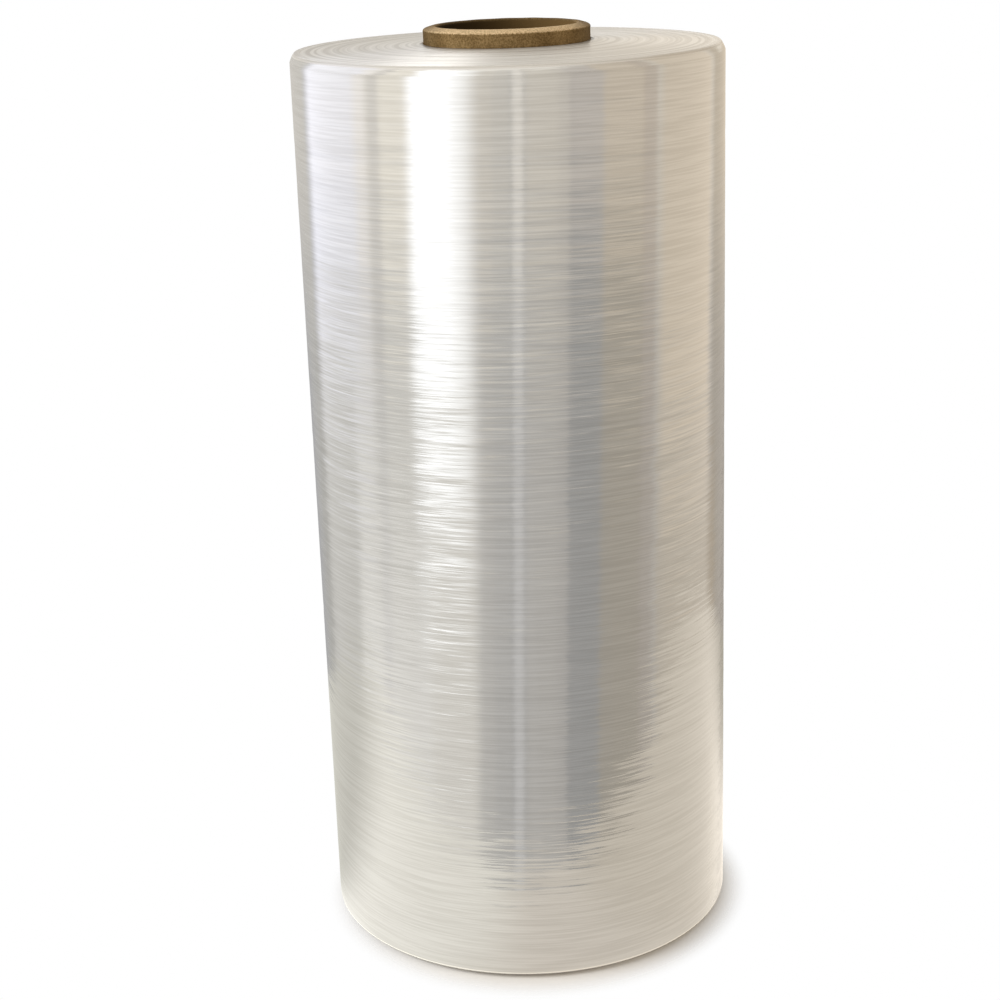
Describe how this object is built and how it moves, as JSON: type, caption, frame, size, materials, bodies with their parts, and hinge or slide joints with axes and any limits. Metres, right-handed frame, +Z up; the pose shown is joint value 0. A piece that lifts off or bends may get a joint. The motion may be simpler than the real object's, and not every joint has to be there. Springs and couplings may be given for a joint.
{
  "type": "stretch wrap roll",
  "caption": "Wide clear stretch film wound in many turns on a paperboard core that stands out at both ends, for wrapping pallet loads.",
  "frame": {"origin": "centre of the core's lower end, which the roll stands on", "axes": "+Z up along the roll's axis; -Y faces the viewer"},
  "size_m": [0.2344, 0.2343, 0.5132],
  "materials": {
    "paperboard": "matt kraft paper plies, cut ends slightly fluffed",
    "film": "glossy milky clear film in tight turns, with fine streaks round the roll"
  },
  "bodies": {
    "root": {"core": "paperboard", "film": "film"}
  },
  "joints": []
}
